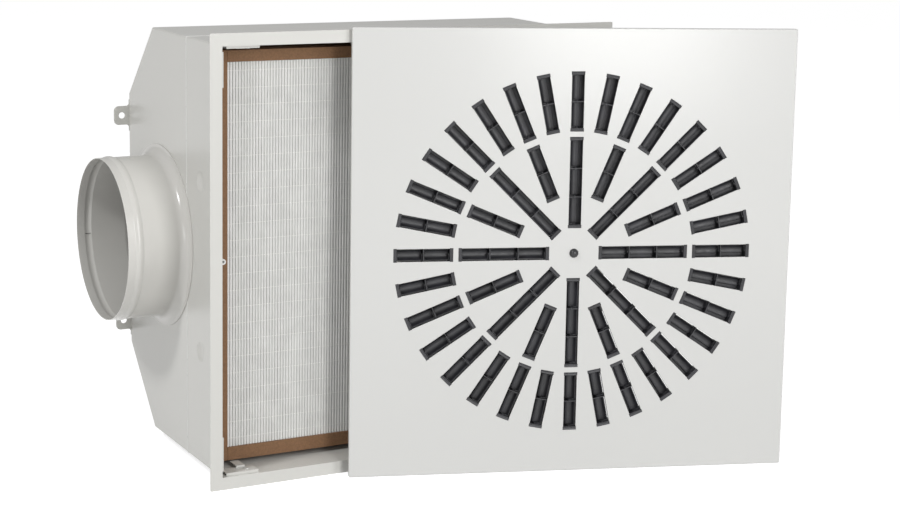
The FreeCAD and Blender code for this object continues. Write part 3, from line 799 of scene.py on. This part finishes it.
@dataclass
class Studio:
    """Camera, lamps and floor, set as the photograph shows the object.

    The camera's place, its axes and its focal length in pixels were worked out from the flange,
    the hood and the collar in the photograph.
    """

    focal_pixels: float = 1941.36
    frame_pixels: float = 900.0
    principal_row: float = 200.0
    middle_row: float = 255.5
    sensor: float = 36.0
    camera_place: Triple = (-1.193297, -2.276903, 0.538731)
    camera_right: Triple = (0.879716, -0.475063, 0.020395)
    camera_down: Triple = (-0.067882, -0.167925, -0.98346)
    floor_level: float = -0.3
    floor_span: float = 40.0
    world_light: float = 0.38
    world_gloss: float = 0.15

    def camera(self) -> None:
        """Set the camera where the photograph was taken."""
        lens = bpy.data.cameras.new("camera")
        lens.sensor_width = self.sensor
        lens.sensor_fit = "HORIZONTAL"
        lens.lens = self.focal_pixels / self.frame_pixels * self.sensor
        lens.shift_y = (self.principal_row - self.middle_row) / self.frame_pixels
        camera = bpy.data.objects.new("camera", lens)
        bpy.context.scene.collection.objects.link(camera)
        right, down = Vector(self.camera_right), Vector(self.camera_down)
        up = (-down).normalized()
        back = right.cross(up).normalized()
        right = up.cross(back)
        turn = Matrix((right, up, back)).transposed().to_4x4()
        camera.matrix_world = Matrix.Translation(self.camera_place) @ turn
        bpy.context.scene.camera = camera

    def floor(self) -> None:
        """Lay the floor under the housing."""
        Bench.deselect()
        bpy.ops.mesh.primitive_plane_add(size=self.floor_span, location=(0.0, 0.0, self.floor_level))
        floor = Bench.named(Bench.settle(bpy.context.object), "floor")
        floor.data.materials.append(Floor().build())

    def world(self) -> None:
        """Even pale light from all round, white to the camera."""
        world = bpy.data.worlds.new("world")
        world.use_nodes = True
        bpy.context.scene.world = world
        tree = world.node_tree
        back = tree.nodes["Background"]
        level = tree.nodes.new("ShaderNodeMapRange")
        level.inputs["To Min"].default_value = self.world_light
        level.inputs["To Max"].default_value = 1.0
        tree.links.new(seen_rays(tree, self.world_gloss), level.inputs["Value"])
        tree.links.new(level.outputs["Result"], back.inputs["Strength"])
        back.inputs["Color"].default_value = (1.0, 1.0, 1.0, 1.0)

    def build(self) -> None:
        """Set up everything that is not part of the object."""
        bpy.context.scene.view_settings.view_transform = "Standard"
        self.camera()
        self.world()
        self.floor()
        for lamp in LAMPS:
            lamp.build()


@dataclass(frozen=True)
class Ring:
    """One ring of slots in the face plate.

    Attributes:
        start: Distance of the slots' inner ends from the centre.
        length: Length of a slot.
        blades: Blades in a slot.
        copies: Number of slots.
        turn: Angle of the first slot, in degrees.
    """

    start: float
    length: float
    blades: int
    copies: int
    turn: float = 0.0


@dataclass
class SlotPlate:
    """Face plate with its slot inserts and blades."""

    shop: Workshop
    plate_sheet: float = 1.5 * MM
    plate_ease: float = 0.25 * MM
    slot_width: float = 17.4 * MM
    slot_end_width: float = 18.6 * MM
    slot_end: float = 4.6 * MM
    insert_gap: float = 0.15 * MM
    insert_recess: float = 0.2 * MM
    insert_depth: float = 13.8 * MM
    insert_rail: float = 1.2 * MM
    insert_rail_depth: float = 4.0 * MM
    insert_web: float = 1.2 * MM
    insert_back_start: float = 3.2 * MM
    insert_back_sheet: float = 1.2 * MM
    insert_foot: float = 1.2 * MM
    insert_ease: float = 0.3 * MM
    cap_valley: float = 1.1 * MM
    cap_ridge: float = 0.25 * MM
    cap_valley_share: float = 0.5
    cap_ridge_share: float = 0.88
    blade_axis: float = 4.6 * MM
    blade_radius: float = 8.1 * MM
    blade_sheet: float = 1.2 * MM
    blade_start: float = 53.0
    blade_end: float = 180.0
    blade_steps: int = 12
    blade_wall: float = 1.0 * MM
    blade_gap: float = 0.35 * MM
    blade_ease: float = 0.18 * MM
    wall_overlap: float = 0.2 * MM
    hub_radius: float = 2.3 * MM
    hub_sides: int = 20
    pin_radius: float = 1.3 * MM
    pin_seat: float = 0.5 * MM
    pin_sides: int = 16
    lines: int = 32
    rings: dict[str, Ring] = field(default_factory=lambda: {
        "outer": Ring(164.5 * MM, 80.5 * MM, 2, 32),
        "long": Ring(34.0 * MM, 123.5 * MM, 3, 8),
        "short": Ring(77.5 * MM, 78.5 * MM, 2, 8, 22.5),
    })

    def pose(self) -> Matrix:
        """Place of the plate, from the frame's joints: X right, Y into the plate, Z up along it.

        Returns:
            The plate's frame.
        """
        right = -Vector(self.shop.joint("blade_turn_01")["axis"])
        inward = -Vector(self.shop.joint("face_plate_lift")["axis"])
        upward = right.cross(inward).normalized()
        turn = Matrix((right, inward, upward)).transposed().to_4x4()
        return Matrix.Translation(self.shop.joint("face_plate_lift")["pos_m"]) @ turn

    def row(self, angle: float) -> Matrix:
        """Frame of a slot: X along it, Y across it clockwise, Z into the plate.

        Args:
            angle: Turn of the slot from the plate's right, in degrees.

        Returns:
            The slot's frame.
        """
        turn = math.radians(angle)
        along = Vector((math.cos(turn), 0.0, math.sin(turn)))
        aside = Vector((math.sin(turn), 0.0, -math.cos(turn)))
        return self.pose() @ Matrix((along, aside, Vector((0.0, 1.0, 0.0)))).transposed().to_4x4()

    def cell(self, ring: Ring) -> float:
        """Length of the room for one blade."""
        return (ring.length - 2 * self.slot_end - (ring.blades - 1) * self.insert_web) / ring.blades

    def cell_start(self, ring: Ring, index: int) -> float:
        """Place along the slot where the room for one of its blades starts."""
        return ring.start + self.slot_end + index * (self.cell(ring) + self.insert_web)

    def sector(self, start: float, end: float, inner: float, outer: float) -> bpy.types.Object:
        """Flat strip spun round the blade's axis by the blade's arc.

        Args:
            start: Start of the strip along the axis.
            end: End of the strip along the axis.
            inner: Distance of its near edge from the axis.
            outer: Distance of its far edge from the axis.

        Returns:
            The spun solid, round the X axis.
        """
        Bench.deselect()
        bpy.ops.mesh.primitive_plane_add(size=1.0)
        piece = bpy.context.object
        piece.scale = (end - start, outer - inner, 1.0)
        piece.location = ((end + start) / 2, (outer + inner) / 2, 0.0)
        Bench.settle(piece)
        piece.rotation_euler = (math.radians(self.blade_start), 0.0, 0.0)
        Bench.settle(piece)
        Bench.edit(piece)
        bpy.ops.mesh.spin(steps=self.blade_steps, angle=math.radians(self.blade_start - self.blade_end),
                          center=(0.0, 0.0, 0.0), axis=(1.0, 0.0, 0.0))
        Bench.close(piece)
        return Bench.outward(piece)

    def blade(self, length: float) -> bpy.types.Object:
        """Scooped blade with two end walls on hubs, and its pins.

        Args:
            length: Length of the blade, from the start of the X axis.

        Returns:
            The blade, round the X axis.
        """
        seat = self.blade_gap + self.pin_seat
        shell_inner = self.blade_radius - self.blade_sheet
        parts = [self.sector(0.0, length, shell_inner, self.blade_radius)]
        for start in (0.0, length - self.blade_wall):
            end = start + self.blade_wall
            parts.append(self.sector(start, end, self.hub_radius / 2, shell_inner + self.wall_overlap))
            parts.append(Bench.rod((start, 0, 0), (end, 0, 0), self.hub_radius, self.hub_sides))
        for start, end in ((-seat, self.blade_wall), (length - self.blade_wall, length + seat)):
            parts.append(Bench.rod((start, 0, 0), (end, 0, 0), self.pin_radius, self.pin_sides))
        for part in parts:
            Bench.ease(part, self.blade_ease)
        return Bench.join("blade_pattern", parts)

    def cap(self, end: float, near: float) -> bpy.types.Object:
        """Moulded end cap of an insert, with a shallow valley and a ridge beside the blade.

        Args:
            end: Place of the slot's end along the slot.
            near: Place of the cap's face beside the blade.

        Returns:
            The cap, in the slot's frame.
        """
        run = near - end
        edge = self.slot_end_width / 2 - self.insert_gap
        front, back = self.insert_recess, self.insert_depth
        steps = [(0.0, back), (0.0, front), (self.cap_valley_share, front + self.cap_valley),
                 (self.cap_ridge_share, front + self.cap_ridge), (1.0, front + self.cap_ridge * 2),
                 (1.0, back)]
        outline = Bench.line([(end + share * run, -edge, level) for share, level in steps])
        return Bench.draw_out(outline, (0.0, 2 * edge, 0.0), fill=True)

    def carrier(self, ring: Ring) -> bpy.types.Object:
        """Insert of one slot: caps, side walls, a rail behind, and webs and feet at the blades' ends.

        Args:
            ring: Ring of the slot.

        Returns:
            The insert, in the slot's frame.
        """
        outer = self.slot_end_width / 2 - self.insert_gap + self.insert_rail
        inner = self.slot_width / 2 + self.insert_gap
        web_edge = self.slot_width / 2
        sheet, front, back = self.plate_sheet, self.insert_recess, self.insert_depth
        rear = back - self.insert_back_sheet
        start, end = ring.start + self.insert_gap, ring.start + ring.length - self.insert_gap
        near, far = ring.start + self.slot_end, ring.start + ring.length - self.slot_end
        parts = [
            self.cap(start, near),
            self.cap(end, far),
            Bench.block((start, -outer, sheet), (end, -inner, sheet + self.insert_rail_depth)),
            Bench.block((start, inner, sheet), (end, outer, back)),
            Bench.block((start, self.insert_back_start, rear), (end, outer, back)),
        ]
        feet = [(start, near + self.insert_foot), (far - self.insert_foot, end)]
        for index in range(1, ring.blades):
            high = self.cell_start(ring, index)
            low = high - self.insert_web
            parts.append(Bench.block((low, self.insert_gap - web_edge, front), (high, web_edge, back)))
            parts.append(Bench.block((low, -outer, sheet), (high, outer, back)))
            feet.append((low - self.insert_foot, high + self.insert_foot))
        for low, high in feet:
            parts.append(Bench.block((low, -outer, rear), (high, outer, back)))
        for part in parts:
            Bench.ease(part, self.insert_ease)
        return Bench.join("carrier_pattern", parts)

    def build_blades(self) -> None:
        """Build one piece of blades for each radial line."""
        patterns = {key: self.blade(self.cell(ring) - 2 * self.blade_gap) for key, ring in self.rings.items()}
        for line in range(self.lines):
            angle = line * 360.0 / self.lines
            copies = []
            for key, ring in self.rings.items():
                if (angle - ring.turn) % (360.0 / ring.copies):
                    continue
                for index in range(ring.blades):
                    start = self.cell_start(ring, index) + self.blade_gap
                    place = self.row(angle) @ Matrix.Translation((start, 0.0, self.blade_axis))
                    copies.append(Bench.copy(patterns[key], place))
            name = f"blades_{line + 1:02d}"
            piece = Bench.join(f"{name}_finished", copies)
            self.shop.hand_over(piece, f"blade_line_{line + 1:02d}", Slot.BLADE, name)
        Bench.scrap(*patterns.values())

    def build_inserts(self) -> None:
        """Build the inserts of the outer ring and of the two inner rings."""
        for name, keys in (("outer_slot_inserts", ("outer",)), ("inner_slot_inserts", ("long", "short"))):
            copies = []
            for key in keys:
                ring = self.rings[key]
                pattern = self.carrier(ring)
                for index in range(ring.copies):
                    angle = ring.turn + index * 360.0 / ring.copies
                    copies.append(Bench.copy(pattern, self.row(angle)))
                Bench.scrap(pattern)
            self.shop.hand_over(Bench.join(f"{name}_finished", copies), "face_panel", Slot.BLADE, name)

    def build(self) -> None:
        """Build and dress the whole plate."""
        self.build_blades()
        self.build_inserts()
        plate = self.shop.refined("face_plate", self.plate_ease)
        self.shop.hand_over(plate, "face_panel", Slot.PLATE, "face_plate")


@dataclass
class DuctCollar:
    """Spun duct collar with a rolled bead, a flared foot, and a black strip of painted shade along its seam
    inside.
    """

    shop: Workshop
    wall: float = -284.5 * MM
    axis_depth: float = 227.0 * MM
    radius: float = 111.0 * MM
    sheet: float = 1.25 * MM
    reach: float = 84.0 * MM
    flare: float = 13.75 * MM
    foot: float = 1.5 * MM
    bead_start: float = 62.0 * MM
    bead_width: float = 12.0 * MM
    bead_height: float = 1.6 * MM
    edge_ease: float = 0.3 * MM
    ease_angle: float = 50.0
    seam_level: float = -13.5 * MM
    seam_width: float = 0.6 * MM
    seam_rise: float = 0.3 * MM
    seam_inset: float = 0.5 * MM
    seam_ease: float = 0.15 * MM
    arc_steps: int = 10
    sides: int = 128

    def profile(self) -> list[tuple[float, float]]:
        """Outer skin of the collar, foot first.

        Returns:
            Distances from the wall and from the axis.
        """
        points = [(self.sheet, self.radius + self.flare + self.foot)]
        for index in range(self.arc_steps + 1):
            turn = math.radians(90.0 * index / self.arc_steps)
            points.append((self.sheet + self.flare * (1.0 - math.cos(turn)),
                           self.radius + self.flare * (1.0 - math.sin(turn))))
        for index in range(self.arc_steps + 1):
            share = index / self.arc_steps
            points.append((self.bead_start + self.bead_width * share,
                           self.radius + self.bead_height * math.sin(math.pi * share)))
        points.append((self.reach, self.radius))
        return points

    def skin(self) -> None:
        """Spin the collar's sheet."""
        skin = Bench.line([(self.wall - along, self.axis_depth + radius, 0.0)
                           for along, radius in self.profile()])
        Bench.edit(skin)
        bpy.ops.mesh.spin(steps=self.sides, angle=math.tau, center=(0.0, self.axis_depth, 0.0),
                          axis=(1.0, 0.0, 0.0))
        Bench.close(skin)
        Bench.outward(skin)
        Bench.modify(skin, "SOLIDIFY", thickness=self.sheet, offset=-1.0)
        Bench.ease(skin, self.edge_ease, angle=self.ease_angle)
        self.shop.hand_over(Bench.named(skin, "duct_spigot_finished"), "housing", Slot.COLLAR,
                            "duct_spigot")

    def seam(self) -> None:
        """Lay a black strip along the inside where the seam runs: painted shade that stands in for the shadow
        of its lap.
        """
        bore = self.axis_depth + self.radius - self.sheet
        mouth, foot = self.wall - self.reach + self.seam_inset, self.wall - self.flare
        # The black strip is painted shade, standing in for the shadow in the seam's lap.
        seam = Bench.block((mouth, bore - self.seam_rise, self.seam_level - self.seam_width),
                           (foot, bore + self.seam_rise, self.seam_level))
        Bench.ease(seam, self.seam_ease)
        self.shop.hand_over(Bench.named(seam, "collar_seam_painted_shade"), "housing", Slot.GASKET)

    def build(self) -> None:
        """Build the collar and the strip of painted shade along its seam."""
        self.skin()
        self.seam()


@dataclass
class FilterCell:
    """Boards, pleated paper and glue threads of the filter cell."""

    shop: Workshop
    half: float = 258.0 * MM
    front: float = 48.0 * MM
    rear: float = 108.0 * MM
    sheet: float = 0.5 * MM
    pleats: int = 127
    tip_share: float = 0.35
    tip_depth: float = 0.7 * MM
    arc_steps: int = 6
    board_front: float = 45.0 * MM
    board_rear: float = 111.0 * MM
    board_reach: float = 278.5 * MM
    upper_reach: float = 273.2 * MM
    lower_reach: float = 276.0 * MM
    board_ease: float = 0.6 * MM
    thread_radius: float = 0.28 * MM
    thread_pitch: float = 22.4 * MM
    thread_sides: int = 8
    thread_angle: float = 60.0
    threads: int = 23

    def boards(self) -> None:
        """Build four boards, with a dark gap left above them."""
        spans = (
            ((-self.board_reach, -self.lower_reach), (-self.half, self.upper_reach)),
            ((self.half, -self.lower_reach), (self.board_reach, self.upper_reach)),
            ((-self.half, -self.lower_reach), (self.half, -self.half)),
            ((-self.half, self.half), (self.half, self.upper_reach)),
        )
        boards = []
        for (left, low), (right, high) in spans:
            board = Bench.block((left, self.board_front, low), (right, self.board_rear, high))
            boards.append(Bench.ease(board, self.board_ease))
        self.shop.hand_over(Bench.join("filter_frame_finished", boards), "housing", Slot.BOARD,
                            "filter_frame")

    def media(self) -> None:
        """Fold one pleat, fine in front and wide behind, and repeat it over the cell."""
        pitch = 2 * self.half / self.pleats
        tip = self.tip_share * pitch
        root = pitch / 2 - tip
        start = -self.half + pitch / 2
        front = self.front + self.sheet / 2 + self.tip_depth
        rear = self.rear - self.sheet / 2 - root
        turns = [math.pi * index / self.arc_steps for index in range(self.arc_steps + 1)]
        points = [(start - tip * math.cos(turn), front - self.tip_depth * math.sin(turn), -self.half)
                  for turn in turns]
        points += [(start + pitch / 2 - root * math.cos(turn), rear + root * math.sin(turn), -self.half)
                   for turn in turns]
        points.append((start + pitch - tip, front, -self.half))
        media = Bench.draw_out(Bench.line(points), (0.0, 0.0, 2 * self.half))
        Bench.modify(media, "ARRAY", count=self.pleats, use_relative_offset=False, use_constant_offset=True,
                     constant_offset_displace=(pitch, 0.0, 0.0), use_merge_vertices=True,
                     merge_threshold=MERGE_DISTANCE)
        Bench.modify(media, "SOLIDIFY", thickness=self.sheet, offset=0.0)
        Bench.smooth(media)
        self.shop.hand_over(Bench.named(media, "filter_media_finished"), "housing", Slot.PAPER,
                            "filter_media")

    def glue(self) -> None:
        """Lay the threads half sunk in the tips, on both faces."""
        pattern = Bench.rod((-self.half, 0, 0), (self.half, 0, 0), self.thread_radius, self.thread_sides)
        Bench.smooth(pattern, self.thread_angle)
        copies = []
        for index in range(self.threads):
            level = (index - (self.threads - 1) / 2) * self.thread_pitch
            for depth in (self.front, self.rear):
                copies.append(Bench.copy(pattern, Matrix.Translation((0.0, depth, level))))
        Bench.scrap(pattern)
        self.shop.hand_over(Bench.join("separator_threads_finished", copies), "housing", Slot.THREAD,
                            "separator_threads")

    def build(self) -> None:
        """Build the boards, the paper and its threads."""
        self.boards()
        self.media()
        self.glue()


EASED: dict[str, tuple[float, Slot]] = {
    "front_section": (0.3 * MM, Slot.HOUSING),
    "rear_hood": (0.3 * MM, Slot.HOUSING),
    "filter_seat": (0.3 * MM, Slot.HOUSING),
    "traverse_bar": (0.3 * MM, Slot.ZINC),
    "traverse_nut": (0.4 * MM, Slot.ZINC),
    "clamp_screws": (0.3 * MM, Slot.ZINC),
    "test_port": (0.25 * MM, Slot.PALE),
    **{f"suspension_lug_{index}": (0.5 * MM, Slot.HOUSING) for index in range(1, 5)},
    **{f"corner_clamp_{index}": (0.35 * MM, Slot.HOUSING) for index in range(1, 5)},
}


@dataclass
class Shell:
    """Folded sheet of the housing, its fittings, and a pale band over the seam between chamber and hood."""

    shop: Workshop
    half: float = 284.5 * MM
    bend: float = 2.5 * MM
    bend_steps: int = 5
    seam: float = 124.0 * MM
    seam_width: float = 2.2 * MM
    seam_rise: float = 0.4 * MM
    seam_round_share: float = 0.9
    seam_steps: int = 3
    ease_angle: float = 60.0

    def pale_band(self) -> None:
        """Lay a thin pale band round the seam, lighter than the housing's coat and rounded like the corners
        of the sheet.
        """
        reach = self.half + self.seam_rise
        band = Bench.block((-reach, self.seam - self.seam_width / 2, -reach),
                           (reach, self.seam + self.seam_width / 2, reach))
        Bench.pick_faces(band, lambda middle: max(abs(middle.x), abs(middle.z)) < reach / 2)
        bpy.ops.mesh.delete(type="ONLY_FACE")
        Bench.close(band)
        Bench.modify(band, "BEVEL", width=self.bend + self.seam_rise, segments=self.bend_steps,
                     limit_method="ANGLE")
        Bench.modify(band, "SOLIDIFY", thickness=2 * self.seam_rise, offset=-1.0)
        Bench.ease(band, self.seam_rise * self.seam_round_share, self.seam_steps, self.ease_angle)
        # The band is lighter than the housing's coat, so the seam shows as a light line.
        self.shop.hand_over(Bench.named(band, "seam_pale_band"), "housing", Slot.PALE)

    def build(self) -> None:
        """Build the pale band and finish the nodes that only need their edges eased."""
        self.pale_band()
        for node, (width, slot) in EASED.items():
            self.shop.hand_over(self.shop.refined(node, width), "housing", slot, node)


def main() -> None:
    """Build the studio and dress every piece."""
    logging.basicConfig(level=logging.INFO, format="%(message)s")
    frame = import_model()
    Studio().build()
    shop = Workshop(frame)
    for node in frame["nodes"]:
        shop.dress_node(node)
    SlotPlate(shop).build()
    DuctCollar(shop).build()
    FilterCell(shop).build()
    Shell(shop).build()


if __name__ == "__main__":
    main()
